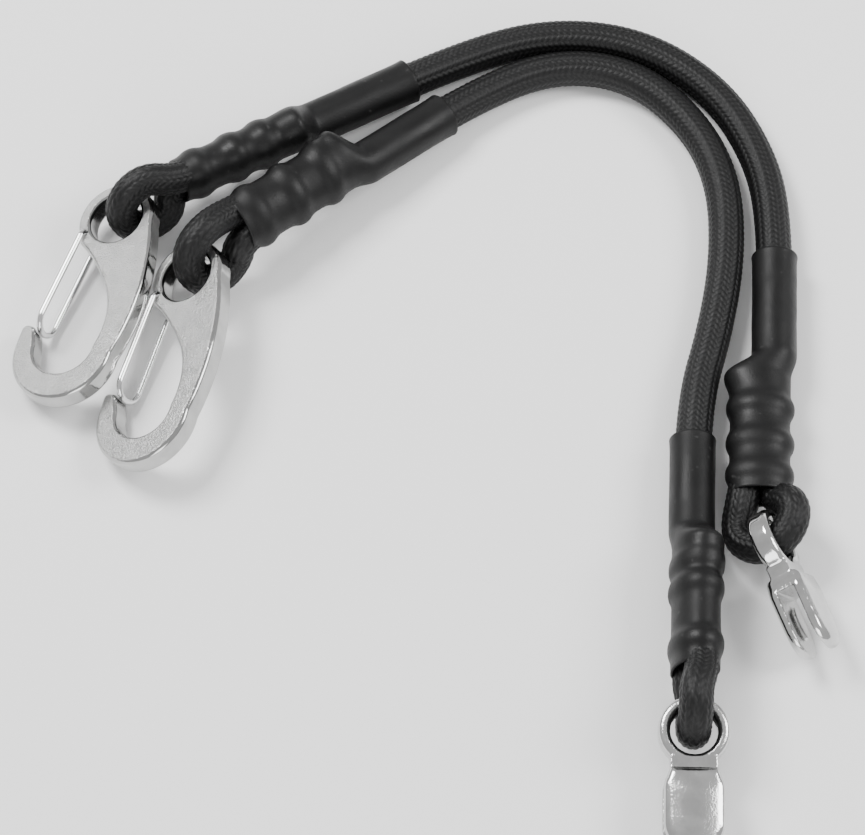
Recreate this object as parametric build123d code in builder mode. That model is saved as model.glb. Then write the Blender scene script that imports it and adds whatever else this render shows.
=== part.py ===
from build123d import *
import math
import os

# A matched pair of shock absorbing lanyards, laid side by side on a bench.
# Each is one bungee cord whose folded ends are seized and sleeved, with a cast
# snap hook on one loop and a slotted clip on the other.
# Millimetres. +Z is up and z = 0 is the bench.

# Bungee cord
cord_d = 10.0
core_d = 6.6
sheath_gap = 0.1
loop_d = 9.0
loop_mouth_pitch = 9.1
loop_width = 16.8
loop_shoulder = 4.8
strand_d = 7.4
strand_pitch = 7.45
strand_start = 12.0
tail_back = 39.0

# Shrink sleeve over each spliced end
sleeve_wall = 0.8
narrow_r = 6.6
splice_len = 46.0
bulge_back = 37.0
bulge_half_u = 9.4
wide_half_u = 9.2
dip_half_u = 8.5
wide_half_n = 7.1
dip_half_n = 6.6
ridge_half = 2.6
band_width = 5.0
band_thick = 0.55
band_fit = 0.02
tail_round = 1.2
sleeve_lift = 6.8
end_gap = 0.6

# Loops: gap past the sleeve, reach of the fold, and where the strands are fully apart
hook_loop = (2.0, 16.6, 4.8)
clip_loop = (1.4, 14.8, 4.4)

# Snap hook, in its own plane: u across, v up the shank, eye centre at 0, 0
hook_thick = 6.5
eye_r = 7.75
eye_wall = 3.7
hook_edge = 1.3
nose_round = 1.75
bend_r = 15.3
bend_at = (-4.0, -43.5)
bend_inner_r = 9.1
bend_inner_at = (-4.1, -41.5)
nose_tip = (-18.6, -35.0)
nose_inner = (-14.9, -36.0)
spine_swell = (14.7, -19.5)
nose_swell = (-19.1, -39.2)
throat_swell = (5.4, -28.0)
throat_top = (1.0, -19.2)
throat_mid = (-3.9, -13.0)
pivot_ledge = (-9.0, -8.4)
pivot_cheek = (-9.6, -6.3)
pivot_at = (-8.2, -5.2)
pivot_hole_d = 2.1
wire_d = 1.8
gate_len = 31.8
gate_angle = 9.8
gate_half = 4.5
gate_pin_reach = 1.2
gate_corner = 1.7

# Slotted clip, in its own plane: eye centre at 0, 0
clip_thick = 6.2
clip_eye_r = 6.25
clip_eye_wall = 3.25
clip_neck_w = 12.6
clip_neck = -10.4
clip_shoulder = -14.6
clip_shoulder_round = 5.0
clip_body_w = 16.0
clip_end = 33.0
clip_body_thick = 10.4
clip_slot = 5.2
clip_slot_end = 14.5
clip_edge = 1.9
clip_eye_edge = 1.5
clip_bridge_at = -9.3
clip_bridge_len = 4.6
boss_at = -23.1
boss_half_w = 3.0
boss_half_len = 5.0
boss_sunk = 0.2
boss_height = 1.3
boss_taper = 12

# Where each fitting's loop sits in its eye
loop_clearance = 1.5

os.makedirs("parts", exist_ok=True)


def heading(angle, pitch):
    """Unit vector on a compass angle from +X, raised by pitch degrees."""
    flat = math.cos(math.radians(pitch))
    east = flat * math.cos(math.radians(angle))
    north = flat * math.sin(math.radians(angle))
    return Vector(east, north, math.sin(math.radians(pitch)))


def fitting_axes(angle, pitch, tilt):
    """Across, shank and normal directions of a fitting whose shank points at angle."""
    shank = heading(angle, pitch)
    across = (shank * -1).cross(Vector(0, 0, 1)).normalized()
    normal = across.cross(shank * -1)
    turned = across * math.cos(math.radians(tilt)) - normal * math.sin(math.radians(tilt))
    return turned, shank, turned.cross(shank * -1)


class LanyardEnd:
    """The frame of one spliced end and of the fitting that hangs in its loop."""

    def __init__(
        self, name, mouth, length, angle, rise, tail_roll, ridge_backs, fitting, loop, fitting_eye_r
    ):
        self.name = name
        self.ridges = [length - back for back in ridge_backs]
        self.length = length
        self.along = heading(angle, rise)
        self.mouth = Vector(mouth[0], mouth[1], sleeve_lift)
        side = self.along.cross(Vector(0, 0, 1)).normalized()
        upright = side.cross(self.along)
        roll = math.radians(tail_roll)
        self.tail_side = upright * math.cos(roll) - side * math.sin(roll)
        self.plane = Plane(origin=self.mouth, x_dir=self.tail_side, z_dir=self.along)
        across, shank, normal = fitting_axes(*fitting)
        self.loop_out = (self.along - normal * normal.dot(self.along)).normalized()
        self.loop_side = normal if normal.dot(self.tail_side) > 0 else normal * -1
        loop_gap, self.loop_reach, self.loop_spread_at = loop
        self.loop_start = self.point(length + loop_gap, strand_pitch / 2)
        eye_reach = self.loop_reach - loop_d / 2 - loop_clearance + fitting_eye_r
        self.eye = self.loop_start + self.loop_out * eye_reach
        self.fitting_plane = Plane(origin=self.eye, x_dir=across, z_dir=normal)

    def point(self, s, u):
        """The point s down the sleeve from its mouth and u towards the tail strand."""
        return self.mouth + self.along * s + self.tail_side * u

    def loop_route(self):
        """The loop's route: out of the sleeve, round the fitting's eye and back."""
        side = self.loop_side
        out = self.loop_out
        half = loop_width / 2
        start = self.loop_start
        reach = self.loop_reach
        spread = self.loop_spread_at
        mouth = self.tail_side * (loop_mouth_pitch / 2)
        return [
            start - mouth,
            start + out * spread - side * half,
            start + out * (reach - loop_shoulder) - side * half,
            start + out * reach - side * (half - loop_shoulder),
            start + out * reach + side * (half - loop_shoulder),
            start + out * (reach - loop_shoulder) + side * half,
            start + out * spread + side * half,
            start + mouth,
        ]


# Routes of the two free cords, each from inside its hook sleeve to inside its clip sleeve
outer_bends = [(38.15, 134.28, 5.2), (65.15, 130.88, 5.1), (87.15, 114.08, 5.1), (98.75, 90.58, 5.2)]
inner_bends = [
    (40.15, 123.68, 5.2),
    (62.65, 120.28, 5.1),
    (79.45, 103.58, 5.1),
    (87.45, 84.08, 5.1),
    (87.75, 60.08, 5.1),
    (83.55, 36.08, 5.2),
]

# Each end: sleeve mouth, length, heading, rise and roll of the tail, how far each
# seizing ridge is from the loop; then its fitting's heading, rise and tilt, and its eye
outer_hook_end = LanyardEnd(
    "outer_hook", (-2.55, 117.08), 76.7, 210.2, 3.6, 20, (27, 17.5, 6), (257, -1, -20), hook_loop, eye_r
)
outer_clip_end = LanyardEnd(
    "outer_clip", (100.75, 57.48), 77, 267.0, 2, -90, (27, 16, 6), (291, -6, 60), clip_loop, clip_eye_r
)
inner_hook_end = LanyardEnd(
    "inner_hook", (7.35, 105.38), 73.5, 219.6, 6.9, -50, (30.5, 18.5, 6), (260, -1, -30), hook_loop, eye_r
)
inner_clip_end = LanyardEnd(
    "inner_clip", (75.65, -0.82), 73, 267.2, 3.2, 20, (31, 24, 7), (268.5, -9, 0), clip_loop, clip_eye_r
)


def fillet_radii(route):
    """The radius of each bend: 0.45 of the shorter run over the tangent of half the turn."""
    radii = []
    for before, here, after in zip(route, route[1:], route[2:]):
        run_in = Vector(*here) - Vector(*before)
        run_out = Vector(*after) - Vector(*here)
        turn = math.radians(run_in.get_angle(run_out))
        radii.append(0.45 * min(run_in.length, run_out.length) / math.tan(turn / 2))
    return radii


def report_route(name, route, length, solid_volume, section_area):
    print(name, "radii", [round(r, 1) for r in fillet_radii(route)])
    runs = [round((Vector(*b) - Vector(*a)).length, 1) for a, b in zip(route, route[1:])]
    print(name, "runs", runs, "length", round(length, 1))
    print(name, "volume / section x length", round(solid_volume / (section_area * length), 4))


def finish_piece(piece, name, place=Plane.XY):
    """Write a piece, which was made about the origin if it has a place of its own."""
    piece.part.location = place.location
    piece.part.label = name
    export_step(piece.part, f"parts/{name}.step")
    box = piece.part.bounding_box()
    print(f"{name:22s} {piece.part.volume:9.1f} mm3  z {box.min.Z:6.2f} to {box.max.Z:6.2f}")


def make_tube(name, route, outside, inside):
    """A cord of round section along a route, hollow where inside is not 0."""
    with BuildLine() as line:
        FilletPolyline(*route, radius=fillet_radii(route))
    path = line.wires()[0]
    start = Plane(origin=path @ 0, z_dir=path % 0)
    with BuildPart() as tube:
        with BuildSketch(start):
            Circle(outside / 2)
            if inside > 0:
                Circle(inside / 2, mode=Mode.SUBTRACT)
        sweep(path=path)
    section = math.pi * (outside**2 - inside**2) / 4
    report_route(name, route, path.length, tube.part.volume, section)
    finish_piece(tube, name)


def sleeve_sections(end, inset):
    """Sections down the sleeve: distance, half widths and shift towards the tail."""
    middle = strand_pitch / 2
    bulge_at = end.length - bulge_back
    rows = [
        (0, narrow_r + 0.2, narrow_r + 0.2, 0),
        (2, narrow_r, narrow_r, 0),
        (end.length - splice_len, narrow_r, narrow_r, 0),
        (bulge_at - 2.5, bulge_half_u - 0.3, wide_half_n - 0.2, middle),
        (bulge_at, bulge_half_u, wide_half_n, middle + 0.3),
    ]
    previous = bulge_at
    for ridge_at in end.ridges:
        rows.append(((previous + ridge_at) / 2, dip_half_u, dip_half_n, middle))
        rows.append((ridge_at - ridge_half, wide_half_u, wide_half_n, middle))
        rows.append((ridge_at + ridge_half, wide_half_u, wide_half_n, middle))
        previous = ridge_at
    rows.append((end.length, dip_half_u + 0.4, dip_half_n + 0.2, middle))
    return [(s, half_u - inset, half_n - inset, shift) for s, half_u, half_n, shift in rows]


def make_sleeve(end):
    """The shrink tube: narrow on the cord, wide and ridged over the splice."""
    with BuildPart() as sleeve:
        for s, half_u, half_n, shift in sleeve_sections(end, 0):
            with BuildSketch(end.plane.offset(s)):
                with Locations((shift, 0)):
                    Ellipse(half_u, half_n)
        loft(ruled=True)
        for s, half_u, half_n, shift in sleeve_sections(end, sleeve_wall):
            with BuildSketch(end.plane.offset(s)):
                with Locations((shift, 0)):
                    Ellipse(half_u, half_n)
        loft(ruled=True, mode=Mode.SUBTRACT)
    finish_piece(sleeve, f"{end.name}_sleeve")


def make_splice(end):
    """The squeezed main strand, the folded-back tail and the bands that seize them."""
    stop = end.length + end_gap
    tail_start = end.length - tail_back
    with BuildPart() as strand:
        with BuildSketch(end.plane.offset(strand_start)):
            Circle(strand_d / 2)
        extrude(amount=stop - strand_start)
    finish_piece(strand, f"{end.name}_strand")

    with BuildPart() as tail:
        with BuildSketch(end.plane.offset(tail_start)):
            with Locations((strand_pitch, 0)):
                Circle(strand_d / 2)
        extrude(amount=stop - tail_start)
        fillet(tail.faces().sort_by(Axis(end.mouth, end.along)).first.edges(), radius=tail_round)
    finish_piece(tail, f"{end.name}_tail")

    inner_r = strand_d / 2 + band_fit
    for number, ridge_at in enumerate(end.ridges, start=1):
        with BuildPart() as band:
            with BuildSketch(end.plane.offset(ridge_at - band_width / 2)):
                with Locations((strand_pitch / 2, 0)):
                    SlotCenterToCenter(strand_pitch, 2 * (inner_r + band_thick))
                    SlotCenterToCenter(strand_pitch, 2 * inner_r, mode=Mode.SUBTRACT)
            extrude(amount=band_width)
        finish_piece(band, f"{end.name}_band_{number}")


def make_hook(place, name):
    """The cast snap hook: an eye, a tapering shank and a bend that ends in a nose."""
    outer_r = eye_r + eye_wall
    bend_left = (bend_at[0] - bend_r, bend_at[1])
    bend_right = (bend_at[0] + bend_r, bend_at[1])
    bend_low = (bend_at[0], bend_at[1] - bend_r)
    inner_left = (bend_inner_at[0] - bend_inner_r, bend_inner_at[1])
    inner_right = (bend_inner_at[0] + bend_inner_r, bend_inner_at[1])
    inner_low = (bend_inner_at[0], bend_inner_at[1] - bend_inner_r)
    with BuildPart() as hook:
        with BuildSketch():
            with BuildLine():
                ThreePointArc((0, outer_r), (outer_r * 0.78, outer_r * 0.63), (outer_r, 0))
                ThreePointArc((outer_r, 0), spine_swell, bend_right)
                ThreePointArc(bend_right, bend_low, bend_left)
                ThreePointArc(bend_left, nose_swell, nose_tip)
                Line(nose_tip, nose_inner)
                Line(nose_inner, inner_left)
                ThreePointArc(inner_left, inner_low, inner_right)
                ThreePointArc(inner_right, throat_swell, throat_top)
                ThreePointArc(throat_top, throat_mid, pivot_ledge)
                Line(pivot_ledge, pivot_cheek)
                ThreePointArc(pivot_cheek, (-outer_r * 0.96, outer_r * 0.28), (0, outer_r))
            outline = make_face()
            corners = outline.vertices().sort_by_distance(nose_tip)
            fillet(corners[0:2], radius=nose_round)
            Circle(eye_r, mode=Mode.SUBTRACT)
        extrude(amount=hook_thick / 2, both=True)
        faces = hook.faces().filter_by(Axis.Z).sort_by(Axis.Z)
        fillet(faces.first.edges() + faces.last.edges(), radius=hook_edge)
        with Locations(pivot_at):
            Hole(radius=pivot_hole_d / 2)
    finish_piece(hook, name, place)


def make_gate(place, name):
    """The wire gate: one bent wire whose two ends plug into the pivot hole."""
    leg = math.radians(gate_angle)
    gate_plane = Plane(origin=(*pivot_at, 0), x_dir=(0, 0, 1), z_dir=(math.cos(leg), -math.sin(leg), 0))
    turn = gate_len - gate_half
    with BuildPart() as gate:
        with BuildLine(gate_plane) as wire:
            FilletPolyline((gate_pin_reach, 0), (gate_half, 0), (gate_half, turn), radius=gate_corner)
            CenterArc((0, turn), gate_half, 0, 180)
            FilletPolyline((-gate_half, turn), (-gate_half, 0), (-gate_pin_reach, 0), radius=gate_corner)
        path = wire.wires()[0]
        with BuildSketch(Plane(origin=path @ 0, z_dir=path % 0)):
            Circle(wire_d / 2)
        sweep(path=path)
    finish_piece(gate, name, place)


def make_clip(place, name):
    """The slotted clip: a ring eye, a neck and two spoon-shaped jaws with a slot between."""
    outer_r = clip_eye_r + clip_eye_wall
    half_body = clip_body_w / 2
    half_neck = clip_neck_w / 2
    round_at = half_body - clip_end
    with BuildPart() as clip:
        with BuildSketch():
            with BuildLine():
                Polyline((half_body, round_at), (half_body, clip_shoulder), (half_neck, clip_neck))
                Line((half_neck, clip_neck), (-half_neck, clip_neck))
                Polyline((-half_neck, clip_neck), (-half_body, clip_shoulder), (-half_body, round_at))
                ThreePointArc((-half_body, round_at), (0, -clip_end), (half_body, round_at))
            outline = make_face()
            shoulders = outline.vertices().sort_by_distance((0, clip_shoulder))
            fillet(shoulders[2:4], radius=clip_shoulder_round)
        extrude(amount=clip_body_thick / 2, both=True)
        faces = clip.faces().filter_by(Axis.Z).sort_by(Axis.Z)
        fillet(faces.first.edges() + faces.last.edges(), radius=clip_edge)
        with BuildSketch():
            with Locations((0, -(clip_slot_end + clip_end) / 2 - 1)):
                Rectangle(clip_body_w + 4, clip_end - clip_slot_end + 2)
        extrude(amount=clip_slot / 2, both=True, mode=Mode.SUBTRACT)
        with BuildSketch(Plane.XY.offset(-clip_slot / 2 - boss_sunk)):
            with Locations((0, boss_at)):
                Ellipse(boss_half_w, boss_half_len)
        extrude(amount=boss_height, taper=boss_taper)
        with BuildSketch():
            with Locations((0, clip_bridge_at)):
                Rectangle(clip_neck_w, clip_bridge_len)
        extrude(amount=clip_thick / 2, both=True)
        with BuildSketch(Plane.XZ):
            with Locations(((clip_eye_r + outer_r) / 2, 0)):
                RectangleRounded(clip_eye_wall, clip_thick, clip_eye_edge)
        revolve(axis=Axis.Z)
    finish_piece(clip, name, place)


def cord_route(hook_end, clip_end, bends, lead_in, lead_out):
    """The free cord's route between the two sleeves it runs into."""
    first = [hook_end.point(strand_start, 0), hook_end.point(-lead_in, 0)]
    last = [clip_end.point(-lead_out, 0), clip_end.point(strand_start, 0)]
    return [tuple(p) for p in first] + bends + [tuple(p) for p in last]


outer_route = cord_route(outer_hook_end, outer_clip_end, outer_bends, 16, 10)
inner_route = cord_route(inner_hook_end, inner_clip_end, inner_bends, 12, 11.4)

for side, route in (("outer", outer_route), ("inner", inner_route)):
    make_tube(f"{side}_sheath", route, cord_d, core_d + sheath_gap)
    make_tube(f"{side}_core", route, core_d, 0)
    print(side, "route", [tuple(round(x, 1) for x in p) for p in route])

for end in (outer_hook_end, outer_clip_end, inner_hook_end, inner_clip_end):
    make_sleeve(end)
    make_splice(end)
    make_tube(f"{end.name}_loop", [tuple(p) for p in end.loop_route()], loop_d, 0)
    place = end.fitting_plane
    print(end.name, "eye", [round(x, 2) for x in end.eye])
    print(end.name, "normal", [round(x, 4) for x in place.z_dir])
    if end.name.endswith("hook"):
        make_hook(place, f"{end.name[:5]}_snap_hook")
        make_gate(place, f"{end.name[:5]}_wire_gate")
    else:
        make_clip(place, f"{end.name[:5]}_slotted_clip")
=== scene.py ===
import math

import bmesh
import bpy
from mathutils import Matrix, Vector, noise


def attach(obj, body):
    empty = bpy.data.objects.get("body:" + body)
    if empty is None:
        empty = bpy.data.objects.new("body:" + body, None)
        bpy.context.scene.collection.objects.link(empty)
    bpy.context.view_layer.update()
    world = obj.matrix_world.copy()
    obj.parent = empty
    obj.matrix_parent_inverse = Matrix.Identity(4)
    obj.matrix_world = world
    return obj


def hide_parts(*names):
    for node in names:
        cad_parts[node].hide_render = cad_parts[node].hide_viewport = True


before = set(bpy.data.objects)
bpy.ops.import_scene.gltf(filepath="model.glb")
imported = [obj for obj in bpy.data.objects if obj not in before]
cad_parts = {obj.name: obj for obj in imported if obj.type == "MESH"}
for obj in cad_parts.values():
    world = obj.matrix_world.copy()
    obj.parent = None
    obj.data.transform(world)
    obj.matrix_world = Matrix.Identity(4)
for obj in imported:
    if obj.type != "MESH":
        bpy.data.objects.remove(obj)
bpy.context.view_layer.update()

bl_info = {
    "name": "Shock absorbing lanyard",
    "version": (1, 0, 0),
    "blender": (4, 5, 0),
    "location": "View3D > Sidebar > Lanyard",
    "description": "Builds braided bungee lanyards with sleeved splices, snap hooks and clips",
    "category": "Add Mesh",
}

MM = 0.001
SIDES = ("outer", "inner")

# The cord, splice and loop sizes of the CAD source, in metres, and the sleeves' finer shape
CORD_D = 10.0 * MM
LOOP_D = 9.0 * MM
LOOP_MOUTH_PITCH = 9.1 * MM
LOOP_WIDTH = 16.8 * MM
LOOP_SHOULDER = 4.8 * MM
LOOP_CLEARANCE = 1.5 * MM
LOOP_TUCK = 4.0 * MM
STRAND_PITCH = 7.45 * MM
STRAND_START = 12.0 * MM
SLEEVE_LIFT = 6.8 * MM
BULGE_BACK = 37.0 * MM
NARROW_R = 6.3 * MM
DIP_HALF_U = 8.3 * MM
DIP_HALF_N = 6.2 * MM
RIDGE_OUT = 1.15 * MM
STEP_LEN = 7.5 * MM
HUMP_LEN = 4.2 * MM
HUMP_OUT = 1.0 * MM
HUMP_DEEP = 0.3 * MM
HUMP_SHIFT = 0.9 * MM
RIDGE_LEN = 2.7 * MM
RIDGE_STEEP = 2.6
RIDGE_DEEP = 0.8
FLARE_LEN = 1.6 * MM
FLARE_OUT = 0.25 * MM
BAND_COUNT = 3
HOOK_LOOP = (2.0, 16.6, 4.8)
CLIP_LOOP = (1.4, 14.8, 4.4)
HOOK_EYE_R = 7.75 * MM
CLIP_EYE_R = 6.25 * MM

# Braid: carriers round the cord, faces across one carrier, and the slant of its yarns
CARRIERS = 16
FACES_PER_CARRIER = 7
BRAID_ROUND = CARRIERS * FACES_PER_CARRIER
YARN_SLANT = 0.85
YARN_SKEW = 0.3
YARN_PLUMP = 1.9
MEAN_RELIEF = 0.7

# Sleeve mesh: faces round it, rows along it, its cut lip and how far its inside is made
SLEEVE_ROUND = 128
SLEEVE_STEP = 0.5 * MM
SLEEVE_LIP = 0.18 * MM
SLEEVE_TURN_IN = 0.6 * MM
SLEEVE_INSIDE = 5.0 * MM
WIDE_SQUARENESS = 0.03
WRINKLE = 0.016
FINE_WRINKLE = 0.003

# Castings: sharp-edge angles in degrees, and the clip's dome over its two jaws
HOOK_SHARP = 38
GATE_SHARP = 50
CLIP_VOXEL = 0.28 * MM
CLIP_SMOOTHING = 5
JAW_TOP = -12.5 * MM
JAW_END = -33.0 * MM
JAW_HALF_W = 8.0 * MM
SLOT_HALF = 2.6 * MM
DOME_UP = 0.9
DOME_DOWN = 0.35

# Stage: the point that the camera looks at and where it stands from there
CAMERA_TARGET = (4.15 * MM, 10.05 * MM, 0.0)
CAMERA_OFFSET = (0, -0.4695, 0.8829)


def heading(angle, pitch):
    """Unit vector on a compass angle from +X, raised by pitch degrees."""
    flat = math.cos(math.radians(pitch))
    return Vector((
        flat * math.cos(math.radians(angle)),
        flat * math.sin(math.radians(angle)),
        math.sin(math.radians(pitch)),
    ))


class SplicedEnd:
    """The frame of one spliced end and of the fitting that hangs in its loop."""

    def __init__(
        self, name, mouth, length, angle, rise, tail_roll, ridge_backs, fitting, loop, eye_r
    ):
        self.name = name
        self.side = name.split("_")[0]
        self.length = length * MM
        self.ridges = [(length - back) * MM for back in ridge_backs]
        loop_gap, self.loop_reach, self.loop_spread_at = (value * MM for value in loop)
        self.along = heading(angle, rise)
        self.mouth = Vector((mouth[0] * MM, mouth[1] * MM, SLEEVE_LIFT))
        side = self.along.cross(Vector((0, 0, 1))).normalized()
        upright = side.cross(self.along)
        roll = math.radians(tail_roll)
        self.tail_side = upright * math.cos(roll) - side * math.sin(roll)
        self.flat_side = self.along.cross(self.tail_side)
        shank = heading(fitting[0], fitting[1])
        across = (-shank).cross(Vector((0, 0, 1))).normalized()
        normal = across.cross(-shank)
        tilt = math.radians(fitting[2])
        self.across = across * math.cos(tilt) - normal * math.sin(tilt)
        self.shank = shank
        self.normal = self.across.cross(-shank)
        self.loop_out = (self.along - self.normal * self.normal.dot(self.along)).normalized()
        toward_tail = self.normal.dot(self.tail_side) > 0
        self.loop_side = self.normal if toward_tail else -self.normal
        self.loop_start = self.point(self.length + loop_gap, STRAND_PITCH / 2)
        reach = self.loop_reach - LOOP_D / 2 - LOOP_CLEARANCE + eye_r
        self.eye = self.loop_start + self.loop_out * reach

    def point(self, s, u, n=0.0):
        """The point s down the sleeve, u towards the tail strand and n across both."""
        return self.mouth + self.along * s + self.tail_side * u + self.flat_side * n

    def loop_route(self):
        """The loop's route: out of the sleeve, round the fitting's eye and back."""
        out, side, start = self.loop_out, self.loop_side, self.loop_start
        half = LOOP_WIDTH / 2
        reach, spread = self.loop_reach, self.loop_spread_at
        mouth = self.tail_side * (LOOP_MOUTH_PITCH / 2)
        tucked = self.point(self.length - LOOP_TUCK, STRAND_PITCH / 2)
        strand = self.tail_side * (STRAND_PITCH / 2)
        return [
            tucked - strand,
            start - mouth,
            start + out * spread - side * half,
            start + out * (reach - LOOP_SHOULDER) - side * half,
            start + out * reach - side * (half - LOOP_SHOULDER),
            start + out * reach + side * (half - LOOP_SHOULDER),
            start + out * (reach - LOOP_SHOULDER) + side * half,
            start + out * spread + side * half,
            start + mouth,
            tucked + strand,
        ]

    def local(self, point):
        """A point in the fitting's own plane: across, up the shank, along the normal."""
        d = point - self.eye
        return d.dot(self.across), -d.dot(self.shank), d.dot(self.normal)


ENDS = {
    "outer_hook": SplicedEnd(
        "outer_hook", (-2.55, 117.08), 76.7, 210.2, 3.6, 20, (27, 17.5, 6),
        (257, -1, -20), HOOK_LOOP, HOOK_EYE_R),
    "outer_clip": SplicedEnd(
        "outer_clip", (100.75, 57.48), 77, 267.0, 2, -90, (27, 16, 6),
        (291, -6, 60), CLIP_LOOP, CLIP_EYE_R),
    "inner_hook": SplicedEnd(
        "inner_hook", (7.35, 105.38), 73.5, 219.6, 6.9, -50, (30.5, 18.5, 6),
        (260, -1, -30), HOOK_LOOP, HOOK_EYE_R),
    "inner_clip": SplicedEnd(
        "inner_clip", (75.65, -0.82), 73, 267.2, 3.2, 20, (31, 24, 7),
        (268.5, -9, 0), CLIP_LOOP, CLIP_EYE_R),
}

# The free cords' bends, lead in, lead out and length along the cord
CORD_BENDS = {
    "outer": [
        (38.15, 134.28, 5.2), (65.15, 130.88, 5.1), (87.15, 114.08, 5.1), (98.75, 90.58, 5.2),
    ],
    "inner": [
        (40.15, 123.68, 5.2), (62.65, 120.28, 5.1), (79.45, 103.58, 5.1),
        (87.45, 84.08, 5.1), (87.75, 60.08, 5.1), (83.55, 36.08, 5.2),
    ],
}
CORD_LEADS = {"outer": (16 * MM, 10 * MM), "inner": (12 * MM, 11.4 * MM)}


def cord_route(side):
    """The free cord's route between the two sleeves it runs into."""
    hook_end, clip_end = ENDS[side + "_hook"], ENDS[side + "_clip"]
    lead_in, lead_out = CORD_LEADS[side]
    bends = [Vector(p) * MM for p in CORD_BENDS[side]]
    first = [hook_end.point(STRAND_START, 0), hook_end.point(-lead_in, 0)]
    return first + bends + [clip_end.point(-lead_out, 0), clip_end.point(STRAND_START, 0)]


# Node groups and materials

def new_group(name, inputs, outputs):
    """An empty shader node group with named float, vector or colour sockets."""
    tree = bpy.data.node_groups.new(name, "ShaderNodeTree")
    for label, kind, value in inputs:
        socket = tree.interface.new_socket(label, in_out="INPUT", socket_type=kind)
        if value is not None:
            socket.default_value = value
    for label, kind in outputs:
        tree.interface.new_socket(label, in_out="OUTPUT", socket_type=kind)
    return tree, tree.nodes.new("NodeGroupInput"), tree.nodes.new("NodeGroupOutput")


def mottle_group():
    """Smooth uneven patches, as on handled rubber or tumbled metal."""
    tree, inside, outside = new_group(
        "Mottle",
        [("Vector", "NodeSocketVector", None), ("Scale", "NodeSocketFloat", 300.0),
         ("Low", "NodeSocketFloat", 0.0), ("High", "NodeSocketFloat", 1.0)],
        [("Value", "NodeSocketFloat")],
    )
    cloud = tree.nodes.new("ShaderNodeTexNoise")
    cloud.inputs["Detail"].default_value = 4
    spread = tree.nodes.new("ShaderNodeMapRange")
    spread.inputs["From Min"].default_value = 0.35
    spread.inputs["From Max"].default_value = 0.65
    links = tree.links
    links.new(inside.outputs["Vector"], cloud.inputs["Vector"])
    links.new(inside.outputs["Scale"], cloud.inputs["Scale"])
    links.new(cloud.outputs["Fac"], spread.inputs["Value"])
    links.new(inside.outputs["Low"], spread.inputs["To Min"])
    links.new(inside.outputs["High"], spread.inputs["To Max"])
    links.new(spread.outputs["Result"], outside.inputs["Value"])
    return tree


def scuff_group():
    """A sparse mask of short pale scuffs and specks."""
    tree, inside, outside = new_group(
        "Scuffs",
        [("Vector", "NodeSocketVector", None), ("Scale", "NodeSocketFloat", 900.0),
         ("Cover", "NodeSocketFloat", 0.7)],
        [("Mask", "NodeSocketFloat")],
    )
    speck = tree.nodes.new("ShaderNodeTexNoise")
    speck.inputs["Detail"].default_value = 1
    edge = tree.nodes.new("ShaderNodeMapRange")
    edge.inputs["From Max"].default_value = 0.82
    links = tree.links
    links.new(inside.outputs["Vector"], speck.inputs["Vector"])
    links.new(inside.outputs["Scale"], speck.inputs["Scale"])
    links.new(inside.outputs["Cover"], edge.inputs["From Min"])
    links.new(speck.outputs["Fac"], edge.inputs["Value"])
    links.new(edge.outputs["Result"], outside.inputs["Mask"])
    return tree


def shader(name, **plain):
    """A material with its Principled shader's plain sockets set."""
    material = bpy.data.materials.new(name)
    material.use_nodes = True
    principled = material.node_tree.nodes["Principled BSDF"]
    for label, value in plain.items():
        principled.inputs[label.replace("_", " ")].default_value = value
    return material, material.node_tree, principled


def add_group(tree, group, source, **values):
    """One use of a shared node group, with its plain sockets set."""
    node = tree.nodes.new("ShaderNodeGroup")
    node.node_tree = group
    tree.links.new(source, node.inputs["Vector"])
    for label, value in values.items():
        node.inputs[label].default_value = value
    return node


def add_bump(tree, principled, height, strength, distance, after=None):
    """A bump into the shader's normal, on top of an earlier one where there is one."""
    bump = tree.nodes.new("ShaderNodeBump")
    bump.inputs["Strength"].default_value = strength
    bump.inputs["Distance"].default_value = distance
    tree.links.new(height, bump.inputs["Height"])
    if after is not None:
        tree.links.new(after.outputs["Normal"], bump.inputs["Normal"])
    tree.links.new(bump.outputs["Normal"], principled.inputs["Normal"])
    return bump


def add_mix(tree, factor, first, second):
    """A colour between two plain ones, by a factor."""
    mix = tree.nodes.new("ShaderNodeMix")
    mix.data_type = "RGBA"
    mix.inputs["A"].default_value = (*first, 1)
    mix.inputs["B"].default_value = (*second, 1)
    tree.links.new(factor, mix.inputs["Factor"])
    return mix.outputs["Result"]


def object_coordinates(tree):
    """The piece's own coordinates, in metres."""
    return tree.nodes.new("ShaderNodeTexCoord").outputs["Object"]


def braid_material(name, settings):
    """Black polyester braid: fine filaments along each carrier, with painted shade darkening the
    colour between them.
    """
    material, tree, principled = shader(name, Specular_IOR_Level=0.3)
    uv = tree.nodes.new("ShaderNodeUVMap")
    uv.uv_map = "yarn"
    stretch = tree.nodes.new("ShaderNodeMapping")
    stretch.inputs["Scale"].default_value = (5200, 420, 1)
    filaments = tree.nodes.new("ShaderNodeTexNoise")
    filaments.inputs["Scale"].default_value = 1
    filaments.inputs["Detail"].default_value = 3
    relief = tree.nodes.new("ShaderNodeAttribute")
    relief.attribute_name = "relief"
    links = tree.links
    links.new(uv.outputs["UV"], stretch.inputs["Vector"])
    links.new(stretch.outputs["Vector"], filaments.inputs["Vector"])
    # Painted shade: the base colour falls to near black where the yarn relief is low, in the
    # crevices between the yarns.
    crevice_shade = add_mix(tree, relief.outputs["Fac"], (0.0004, 0.0004, 0.0004), settings.colour)
    links.new(crevice_shade, principled.inputs["Base Color"])
    shine = tree.nodes.new("ShaderNodeMapRange")
    shine.inputs["To Min"].default_value = 0.62
    shine.inputs["To Max"].default_value = 0.3
    links.new(filaments.outputs["Fac"], shine.inputs["Value"])
    links.new(shine.outputs["Result"], principled.inputs["Roughness"])
    add_bump(tree, principled, filaments.outputs["Fac"], 0.7, 0.00015)
    return material


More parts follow.
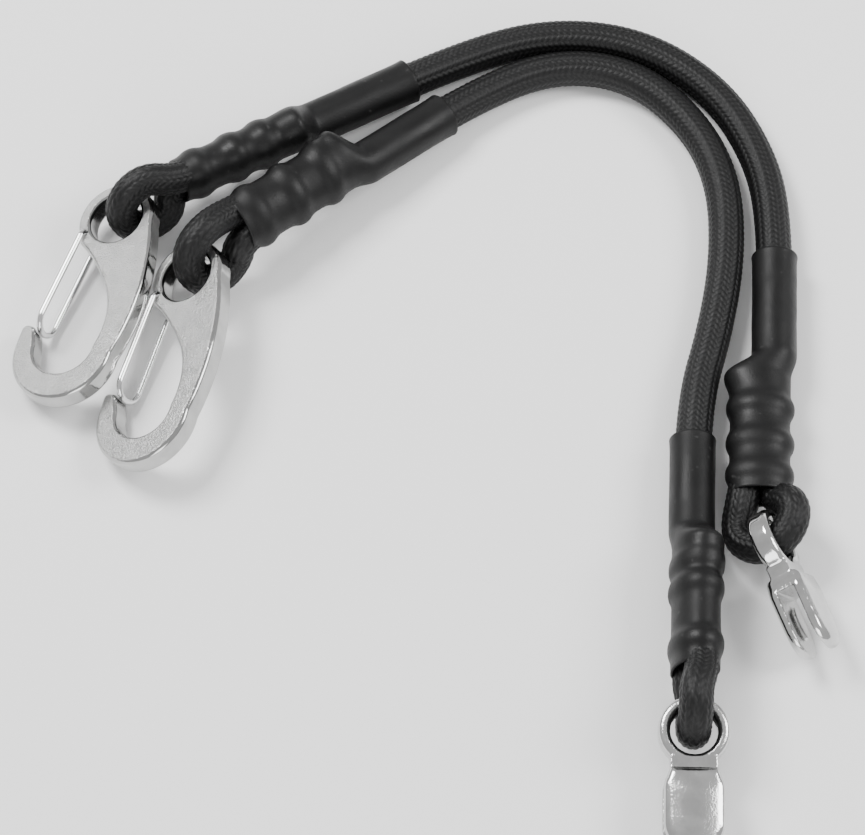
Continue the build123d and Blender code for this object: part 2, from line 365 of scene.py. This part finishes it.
def sleeve_material(groups, settings):
    """Satin black shrink tube with a faint grain, rubbed patches and pale scuffs."""
    material, tree, principled = shader("Shrink sleeve black", Specular_IOR_Level=0.26)
    source = object_coordinates(tree)
    rubbed = add_group(tree, groups["mottle"], source, Scale=110.0, Low=0.38, High=0.52)
    grain = add_group(tree, groups["mottle"], source, Scale=2600.0)
    scuffs = add_group(tree, groups["scuffs"], source, Scale=420.0, Cover=0.72)
    colour = add_mix(tree, scuffs.outputs["Mask"], settings.colour, (0.028, 0.028, 0.028))
    tree.links.new(colour, principled.inputs["Base Color"])
    tree.links.new(rubbed.outputs["Value"], principled.inputs["Roughness"])
    add_bump(tree, principled, grain.outputs["Value"], 0.35, 0.00006)
    return material


def cast_material(name, groups, colour, face, rim, grain_scale, depth):
    """Cast stainless steel: grainy satin on the flat faces and polished elsewhere."""
    material, tree, principled = shader(name, Metallic=1.0)
    source = object_coordinates(tree)
    flat = tree.nodes.new("ShaderNodeAttribute")
    flat.attribute_name = "flat_face"
    grain = add_group(tree, groups["mottle"], source, Scale=grain_scale)
    clouds = add_group(tree, groups["mottle"], source, Scale=240.0, Low=0.0, High=1.0)
    tint = add_mix(tree, clouds.outputs["Value"], [c * 0.86 for c in colour], colour)
    tree.links.new(tint, principled.inputs["Base Color"])
    rough = tree.nodes.new("ShaderNodeMapRange")
    rough.inputs["To Min"].default_value = rim
    rough.inputs["To Max"].default_value = face
    tree.links.new(flat.outputs["Fac"], rough.inputs["Value"])
    tree.links.new(rough.outputs["Result"], principled.inputs["Roughness"])
    ripple = add_bump(tree, principled, clouds.outputs["Value"], 0.3, 0.00012)
    masked = tree.nodes.new("ShaderNodeMath")
    masked.operation = "MULTIPLY"
    tree.links.new(grain.outputs["Value"], masked.inputs[0])
    tree.links.new(flat.outputs["Fac"], masked.inputs[1])
    add_bump(tree, principled, masked.outputs["Value"], 0.5, depth, after=ripple)
    return material


def plain_material(name, groups, colour, low, high, metallic=0.0):
    """A finish with only a little unevenness, for wire and for what the sleeves hide."""
    material, tree, principled = shader(name, Metallic=metallic)
    source = object_coordinates(tree)
    clouds = add_group(tree, groups["mottle"], source, Scale=500.0, Low=low, High=high)
    tint = add_mix(tree, clouds.outputs["Value"], colour, [c * 0.9 for c in colour])
    tree.links.new(tint, principled.inputs["Base Color"])
    tree.links.new(clouds.outputs["Value"], principled.inputs["Roughness"])
    return material


def make_materials(scene):
    """Every finish, by the name of the slot that it fills."""
    groups = {"mottle": mottle_group(), "scuffs": scuff_group()}
    metal = scene.lanyard_metal
    return {
        "cord_braid": braid_material("Cord braid black", scene.lanyard_braid),
        "shrink_sleeve": sleeve_material(groups, scene.lanyard_sleeve),
        "hook_metal": cast_material(
            "Hook cast steel", groups, metal.hook_colour, 0.34, 0.12, 2100.0, 0.0003),
        "clip_metal": cast_material(
            "Clip polished steel", groups, metal.clip_colour, 0.2, 0.1, 1800.0, 0.00005),
        "gate_wire": plain_material(
            "Gate spring wire", groups, (0.74, 0.74, 0.74), 0.12, 0.2, metallic=1.0),
        "seizing": plain_material("Seizing nylon", groups, (0.09, 0.09, 0.09), 0.4, 0.6),
    }


MATERIALS = {}


def dress(obj, body, slot, *nodes):
    """Give a piece its finish, its body and the CAD nodes that it stands for."""
    obj.data.materials.clear()
    obj.data.materials.append(MATERIALS[slot])
    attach(obj, body)
    if nodes:
        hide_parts(*nodes)
    return obj


def new_piece(name, bm):
    """A smooth-shaded object at the origin, made from a bmesh."""
    mesh = bpy.data.meshes.new(name)
    bm.to_mesh(mesh)
    bm.free()
    for face in mesh.polygons:
        face.use_smooth = True
    obj = bpy.data.objects.new(name, mesh)
    bpy.context.scene.collection.objects.link(obj)
    return obj


# Cords

def centreline(name, route):
    """The points along the smooth NURBS curve that a route's points control."""
    curve = bpy.data.curves.new(name, "CURVE")
    curve.dimensions = "3D"
    curve.resolution_u = 40
    spline = curve.splines.new("NURBS")
    spline.points.add(len(route) - 1)
    for control, point in zip(spline.points, route):
        control.co = (*point, 1)
    spline.order_u = 3
    spline.use_endpoint_u = True
    holder = bpy.data.objects.new(name, curve)
    bpy.context.scene.collection.objects.link(holder)
    bpy.context.view_layer.update()
    graph = bpy.context.evaluated_depsgraph_get()
    mesh = bpy.data.meshes.new_from_object(holder.evaluated_get(graph))
    points = [v.co.copy() for v in mesh.vertices]
    bpy.data.objects.remove(holder)
    bpy.data.meshes.remove(mesh)
    return points


def even_points(points, step):
    """The same line, walked in even steps, with the distance of each from its start."""
    total = sum((b - a).length for a, b in zip(points, points[1:]))
    count = max(8, round(total / step))
    spacing = total / count
    placed, gone, wanted = [points[0].copy()], 0.0, spacing
    for a, b in zip(points, points[1:]):
        run = (b - a).length
        while run > 0 and gone + run >= wanted - 1e-9 and len(placed) < count:
            placed.append(a.lerp(b, (wanted - gone) / run))
            wanted += spacing
        gone += run
    placed.append(points[-1].copy())
    return placed, spacing


def ring_frames(points):
    """Centre, across and up at each point, carried along without twist."""
    frames = []
    up = Vector((0, 0, 1))
    for i, point in enumerate(points):
        tangent = (points[min(i + 1, len(points) - 1)] - points[max(i - 1, 0)]).normalized()
        across = tangent.cross(up).normalized()
        up = across.cross(tangent)
        frames.append((point, across, up))
    return frames


def braid_height(column, x, s, pitch):
    """Height of the braid at x across a carrier's column and s along the cord, 0 to 1."""
    slant = 1 if column % 2 else -1
    t = s / pitch + slant * x * YARN_SLANT + (0.5 if column % 2 else 0.0)
    y = t - math.floor(t) - 0.5
    plump = math.sqrt(max(0.0, 1 - (YARN_PLUMP * y) ** 2))
    return plump * (0.55 + 0.45 * math.cos(math.pi * x))


def braided_tube(name, points, diameter, pitch, relief, step):
    """A braided cord as a mesh tube: a grid wrapped round the line, its yarns raised."""
    placed, spacing = even_points(points, step)
    frames = ring_frames(placed)
    rows = len(frames)
    bm = bmesh.new()
    bmesh.ops.create_grid(bm, x_segments=BRAID_ROUND, y_segments=rows - 1, size=0.5)
    yarn = bm.loops.layers.uv.new("yarn")
    raised = bm.verts.layers.float.new("relief")
    cells = {}
    for vert in bm.verts:
        i = round((vert.co.x + 0.5) * BRAID_ROUND)
        j = round((vert.co.y + 0.5) * (rows - 1))
        cells[vert] = (i, j)
    width = math.pi * diameter / CARRIERS
    for face in bm.faces:
        middle = sum(cells[v][0] for v in face.verts) / len(face.verts)
        column = int(middle // FACES_PER_CARRIER)
        slant = 1 if column % 2 else -1
        for loop in face.loops:
            i, j = cells[loop.vert]
            x = (i / FACES_PER_CARRIER - column - 0.5) * width
            s = j * spacing
            loop[yarn].uv = (s + slant * x * YARN_SLANT, x - slant * s * YARN_SKEW)
    radius = diameter / 2
    for vert, (i, j) in cells.items():
        centre, across, up = frames[j]
        around = (i % BRAID_ROUND) / BRAID_ROUND
        column = int(around * CARRIERS)
        x = around * CARRIERS - column - 0.5
        height = braid_height(column, x, j * spacing, pitch)
        # The yarn height is kept as the relief attribute, which also drives the braid's painted
        # shade between the yarns.
        vert[raised] = height
        turn = 2 * math.pi * around
        out = across * math.cos(turn) + up * math.sin(turn)
        vert.co = centre + out * (radius + relief * (height - MEAN_RELIEF))
    bmesh.ops.remove_doubles(bm, verts=bm.verts[:], dist=1e-7)
    ends = [e for e in bm.edges if e.is_boundary]
    bmesh.ops.holes_fill(bm, edges=ends)
    bmesh.ops.recalc_face_normals(bm, faces=bm.faces[:])
    return new_piece(name, bm), placed


# Sleeves

def sleeve_profile(end, s):
    """Half width, half depth and shift towards the tail at s down the sleeve."""
    bulge_at = end.length - BULGE_BACK
    step = min(1.0, max(0.0, (s - (bulge_at - STEP_LEN)) / STEP_LEN))
    step = step * step * (3 - 2 * step)
    half_u = NARROW_R + (DIP_HALF_U - NARROW_R) * step
    half_n = NARROW_R + (DIP_HALF_N - NARROW_R) * step
    shift = STRAND_PITCH / 2 * step
    hump = math.exp(-((s - bulge_at) / HUMP_LEN) ** 2)
    half_u += HUMP_OUT * hump
    half_n += HUMP_DEEP * hump
    shift += HUMP_SHIFT * hump
    for ridge_at in end.ridges:
        swell = math.exp(-(abs(s - ridge_at) / RIDGE_LEN) ** RIDGE_STEEP)
        half_u += RIDGE_OUT * swell
        half_n += RIDGE_OUT * RIDGE_DEEP * swell
    flare = math.exp(-s / FLARE_LEN)
    return half_u + FLARE_OUT * flare, half_n + FLARE_OUT * flare, shift


def make_sleeve(end, settings):
    """The shrink tube: its outside, both cut lips and a short way up its inside."""
    wall = settings.wall
    around = SLEEVE_ROUND
    lip = SLEEVE_LIP
    steps = int(end.length / SLEEVE_STEP)
    rows = [(SLEEVE_INSIDE, wall), (SLEEVE_TURN_IN, wall), (0.0, wall), (0.0, wall / 2), (0.0, lip)]
    rows += [(lip + (end.length - 2 * lip) * k / steps, 0.0) for k in range(steps + 1)]
    rows += [(end.length, lip), (end.length, wall / 2), (end.length, wall)]
    rows += [(end.length - SLEEVE_TURN_IN, wall), (end.length - SLEEVE_INSIDE, wall)]
    bm = bmesh.new()
    bmesh.ops.create_grid(bm, x_segments=around, y_segments=len(rows) - 1, size=0.5)
    seed = Vector((end.mouth.x * 90, end.mouth.y * 90, end.length * 50))
    for vert in bm.verts:
        i = round((vert.co.x + 0.5) * around) % around
        s, inset = rows[round((vert.co.y + 0.5) * (len(rows) - 1))]
        half_u, half_n, shift = sleeve_profile(end, s)
        turn = 2 * math.pi * i / around
        c, d = math.cos(turn), math.sin(turn)
        squareness = 1.0 + WIDE_SQUARENESS * min(1.0, shift / (STRAND_PITCH / 2))
        length = (abs(c) ** (2 * squareness) + abs(d) ** (2 * squareness)) ** (0.5 / squareness)
        u = shift + (half_u - inset) * c / length
        n = (half_n - inset) * d / length
        wrinkle = noise.noise(seed + Vector((c * 1.3, d * 1.3, s * 120)))
        fine = noise.noise(seed * 2 + Vector((c * 3, d * 3, s * 420)))
        swell = 1 + settings.unevenness * (WRINKLE * wrinkle + FINE_WRINKLE * fine)
        vert.co = end.point(s, shift + (u - shift) * swell, n * swell)
    bmesh.ops.remove_doubles(bm, verts=bm.verts[:], dist=1e-7)
    bmesh.ops.recalc_face_normals(bm, faces=bm.faces[:])
    obj = new_piece(end.name + "_shrink_sleeve", bm)
    return dress(obj, end.side + "_lanyard", "shrink_sleeve", end.name + "_sleeve")


# Fittings

def merged_copy(node):
    """A CAD node's mesh with its loose triangles joined."""
    bm = bmesh.new()
    bm.from_mesh(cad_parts[node].data)
    bmesh.ops.remove_doubles(bm, verts=bm.verts[:], dist=1e-6)
    bmesh.ops.dissolve_degenerate(bm, dist=1e-7, edges=bm.edges[:])
    return bm


def mark_flat_faces(bm, end):
    """Store which faces lie flat in the casting's two main planes."""
    layer = bm.verts.layers.float.new("flat_face")
    bm.normal_update()
    for vert in bm.verts:
        level = max(abs(f.normal.dot(end.normal)) for f in vert.link_faces)
        vert[layer] = min(1.0, max(0.0, (level - 0.9) / 0.09))


def finish_casting(obj, angle):
    """Crisp arrises where the casting has them and smooth curves elsewhere."""
    obj.data.set_sharp_from_angle(angle=math.radians(angle))
    weighted = obj.modifiers.new("Face weighted shading", "WEIGHTED_NORMAL")
    weighted.keep_sharp = True
    weighted.weight = 90


def make_hook(end):
    """The cast snap hook: the CAD shape with its flat faces marked for their finish."""
    node = end.side + "_snap_hook"
    bm = merged_copy(node)
    mark_flat_faces(bm, end)
    obj = new_piece(end.side + "_cast_hook", bm)
    finish_casting(obj, HOOK_SHARP)
    return dress(obj, end.side + "_hook", "hook_metal", node)


def make_gate(end):
    """The sprung wire gate, on its own body so that it opens into the hook."""
    node = end.side + "_wire_gate"
    obj = new_piece(end.side + "_spring_gate", merged_copy(node))
    finish_casting(obj, GATE_SHARP)
    return dress(obj, end.side + "_gate", "gate_wire", node)


def dome_jaws(bm, end):
    """Round the two jaws' outer faces like a spoon."""
    for vert in bm.verts:
        x, y, z = end.local(vert.co)
        if y > JAW_TOP or abs(z) < SLOT_HALF + 0.4 * MM:
            continue
        along = (y - (JAW_TOP + JAW_END) / 2) / ((JAW_TOP - JAW_END) / 2)
        edge = min(1.0, (x / JAW_HALF_W) ** 2 + 0.55 * max(0.0, -along) ** 3)
        blend = min(1.0, (JAW_TOP - y) / (4 * MM))
        lift = blend * (DOME_UP * (1 - edge) - DOME_DOWN * edge) * MM
        share = (abs(z) - SLOT_HALF) / SLOT_HALF
        vert.co += end.normal * math.copysign(lift * share, z)


def make_clip(end):
    """The polished clip: the CAD shape evenly meshed, softened and domed."""
    node = end.side + "_slotted_clip"
    rough = new_piece("rough_clip", merged_copy(node))
    remesh = rough.modifiers.new("Even skin", "REMESH")
    remesh.mode = "VOXEL"
    remesh.voxel_size = CLIP_VOXEL
    bpy.context.view_layer.update()
    graph = bpy.context.evaluated_depsgraph_get()
    skin = bpy.data.meshes.new_from_object(rough.evaluated_get(graph))
    bpy.data.objects.remove(rough)
    bm = bmesh.new()
    bm.from_mesh(skin)
    bpy.data.meshes.remove(skin)
    dome_jaws(bm, end)
    for _ in range(CLIP_SMOOTHING):
        bmesh.ops.smooth_vert(
            bm, verts=bm.verts[:], factor=0.5, use_axis_x=True, use_axis_y=True, use_axis_z=True)
    mark_flat_faces(bm, end)
    obj = new_piece(end.side + "_cast_clip", bm)
    return dress(obj, end.side + "_clip", "clip_metal", node)


# Settings and operators

class LANYARD_PG_braid(bpy.types.PropertyGroup):
    pitch: bpy.props.FloatProperty(
        name="Pick pitch", description="Distance from one pick of the braid to the next",
        default=1.8 * MM, unit="LENGTH")
    relief: bpy.props.FloatProperty(
        name="Relief", description="How far the yarns stand out", default=0.42 * MM, unit="LENGTH")
    step: bpy.props.FloatProperty(
        name="Mesh step", description="Mesh spacing along a cord", default=0.3 * MM, unit="LENGTH")
    colour: bpy.props.FloatVectorProperty(
        name="Colour", description="Colour of the yarns", subtype="COLOR", size=3,
        default=(0.0045, 0.0045, 0.0047))


class LANYARD_PG_sleeve(bpy.types.PropertyGroup):
    wall: bpy.props.FloatProperty(
        name="Wall", description="Thickness of the shrink tube", default=0.8 * MM, unit="LENGTH")
    unevenness: bpy.props.FloatProperty(
        name="Unevenness", description="How uneven the shrunk tube is", default=1.0,
        subtype="FACTOR")
    colour: bpy.props.FloatVectorProperty(
        name="Colour", description="Colour of the tube", subtype="COLOR", size=3,
        default=(0.0042, 0.0042, 0.0043))


class LANYARD_PG_metal(bpy.types.PropertyGroup):
    hook_colour: bpy.props.FloatVectorProperty(
        name="Hook colour", description="Colour of the cast hooks", subtype="COLOR", size=3,
        default=(0.46, 0.46, 0.455))
    clip_colour: bpy.props.FloatVectorProperty(
        name="Clip colour", description="Colour of the polished clips", subtype="COLOR", size=3,
        default=(0.62, 0.62, 0.615))


class LANYARD_PG_stage(bpy.types.PropertyGroup):
    floor_size: bpy.props.FloatProperty(
        name="Floor size", description="Width of the plain floor", default=6.0, unit="LENGTH")
    lens: bpy.props.FloatProperty(
        name="Lens", description="Focal length in millimetres", default=149.8)


class LANYARD_OT_free_cords(bpy.types.Operator):
    """Make the two braided free cords between the sleeves"""
    bl_idname = "lanyard.free_cords"
    bl_label = "Free cords"

    def execute(self, context):
        braid = context.scene.lanyard_braid
        for side in SIDES:
            points = centreline(side + "_line", cord_route(side))
            obj, path = braided_tube(
                side + "_free_cord", points, CORD_D, braid.pitch, braid.relief, braid.step)
            dress(obj, side + "_lanyard", "cord_braid", side + "_sheath", side + "_core")
        return {"FINISHED"}


class LANYARD_OT_eye_loops(bpy.types.Operator):
    """Make the four cord loops that hold the hooks and clips"""
    bl_idname = "lanyard.eye_loops"
    bl_label = "Eye loops"

    def execute(self, context):
        braid = context.scene.lanyard_braid
        for end in ENDS.values():
            points = centreline(end.name + "_line", end.loop_route())
            obj, _ = braided_tube(
                end.name + "_eye_loop", points, LOOP_D, braid.pitch, braid.relief, braid.step)
            dress(obj, end.side + "_lanyard", "cord_braid", end.name + "_loop")
        return {"FINISHED"}


class LANYARD_OT_shrink_sleeves(bpy.types.Operator):
    """Make the four ridged shrink sleeves"""
    bl_idname = "lanyard.shrink_sleeves"
    bl_label = "Shrink sleeves"

    def execute(self, context):
        for end in ENDS.values():
            make_sleeve(end, context.scene.lanyard_sleeve)
        return {"FINISHED"}


class LANYARD_OT_splice_parts(bpy.types.Operator):
    """Finish the strands, tails and seizing that the sleeves cover"""
    bl_idname = "lanyard.splice_parts"
    bl_label = "Splice parts"

    def execute(self, context):
        for end in ENDS.values():
            named = [("strand", "cord_braid"), ("tail", "cord_braid")]
            named += [(f"band_{k}", "seizing") for k in range(1, BAND_COUNT + 1)]
            for part, slot in named:
                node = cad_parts[f"{end.name}_{part}"]
                node.data.materials.clear()
                node.data.materials.append(MATERIALS[slot])
        return {"FINISHED"}


class LANYARD_OT_snap_hooks(bpy.types.Operator):
    """Make the two cast snap hooks and their wire gates"""
    bl_idname = "lanyard.snap_hooks"
    bl_label = "Snap hooks"

    def execute(self, context):
        for side in SIDES:
            make_hook(ENDS[side + "_hook"])
            make_gate(ENDS[side + "_hook"])
        return {"FINISHED"}


class LANYARD_OT_slotted_clips(bpy.types.Operator):
    """Make the two polished slotted clips"""
    bl_idname = "lanyard.slotted_clips"
    bl_label = "Slotted clips"

    def execute(self, context):
        for side in SIDES:
            make_clip(ENDS[side + "_clip"])
        return {"FINISHED"}


class LANYARD_OT_stage(bpy.types.Operator):
    """Make the floor, the studio lights and the camera"""
    bl_idname = "lanyard.stage"
    bl_label = "Stage"

    def execute(self, context):
        settings = context.scene.lanyard_stage
        bm = bmesh.new()
        bmesh.ops.create_grid(bm, x_segments=1, y_segments=1, size=settings.floor_size / 2)
        floor = new_piece("floor", bm)
        paper, _, _ = shader("Pale floor", Base_Color=(0.93, 0.93, 0.93, 1), Roughness=0.95)
        floor.data.materials.append(paper)
        world = bpy.data.worlds.new("Soft studio")
        context.scene.world = world
        world.use_nodes = True
        world.node_tree.nodes["Background"].inputs["Color"].default_value = (1, 1, 1, 1)
        world.node_tree.nodes["Background"].inputs["Strength"].default_value = 0.7
        lamps = (
            ("key_light", (-0.55, 0.45, 0.95), 0.45, 16.0),
            ("fill_light", (0.85, 0.1, 0.75), 0.5, 9.0),
            ("low_light", (0.0, -1.0, 0.45), 0.6, 5.0),
        )
        for name, place, size, power in lamps:
            lamp = bpy.data.lights.new(name, "AREA")
            lamp.size = size
            lamp.energy = power
            holder = bpy.data.objects.new(name, lamp)
            holder.location = place
            holder.rotation_euler = (-Vector(place)).to_track_quat("-Z", "Y").to_euler()
            context.scene.collection.objects.link(holder)
        target = Vector(CAMERA_TARGET)
        camera = bpy.data.cameras.new("camera")
        camera.sensor_width = 36
        camera.lens = settings.lens
        holder = bpy.data.objects.new("camera", camera)
        holder.location = target + Vector(CAMERA_OFFSET)
        holder.rotation_euler = (target - holder.location).to_track_quat("-Z", "Y").to_euler()
        context.scene.collection.objects.link(holder)
        context.scene.camera = holder
        return {"FINISHED"}


class LANYARD_PT_panel(bpy.types.Panel):
    """The lanyard's settings and makers"""
    bl_idname = "LANYARD_PT_panel"
    bl_label = "Shock absorbing lanyard"
    bl_space_type = "VIEW_3D"
    bl_region_type = "UI"
    bl_category = "Lanyard"

    def draw(self, context):
        for name in ("lanyard_braid", "lanyard_sleeve", "lanyard_metal", "lanyard_stage"):
            group = getattr(context.scene, name)
            box = self.layout.box()
            for label in group.bl_rna.properties.keys():
                if label not in ("rna_type", "name"):
                    box.prop(group, label)
        for maker in MAKERS:
            self.layout.operator(maker.bl_idname)


GROUPS = {
    "lanyard_braid": LANYARD_PG_braid,
    "lanyard_sleeve": LANYARD_PG_sleeve,
    "lanyard_metal": LANYARD_PG_metal,
    "lanyard_stage": LANYARD_PG_stage,
}
MAKERS = (
    LANYARD_OT_stage,
    LANYARD_OT_free_cords,
    LANYARD_OT_eye_loops,
    LANYARD_OT_shrink_sleeves,
    LANYARD_OT_splice_parts,
    LANYARD_OT_snap_hooks,
    LANYARD_OT_slotted_clips,
)


def register():
    for cls in (*GROUPS.values(), *MAKERS, LANYARD_PT_panel):
        bpy.utils.register_class(cls)
    for name, cls in GROUPS.items():
        setattr(bpy.types.Scene, name, bpy.props.PointerProperty(type=cls))


def unregister():
    for name in GROUPS:
        delattr(bpy.types.Scene, name)
    for cls in (LANYARD_PT_panel, *MAKERS, *GROUPS.values()):
        bpy.utils.unregister_class(cls)


def main():
    register()
    MATERIALS.update(make_materials(bpy.context.scene))
    bpy.ops.lanyard.stage()
    bpy.ops.lanyard.free_cords()
    bpy.ops.lanyard.eye_loops()
    bpy.ops.lanyard.shrink_sleeves()
    bpy.ops.lanyard.splice_parts()
    bpy.ops.lanyard.snap_hooks()
    bpy.ops.lanyard.slotted_clips()


if __name__ == "__main__":
    main()
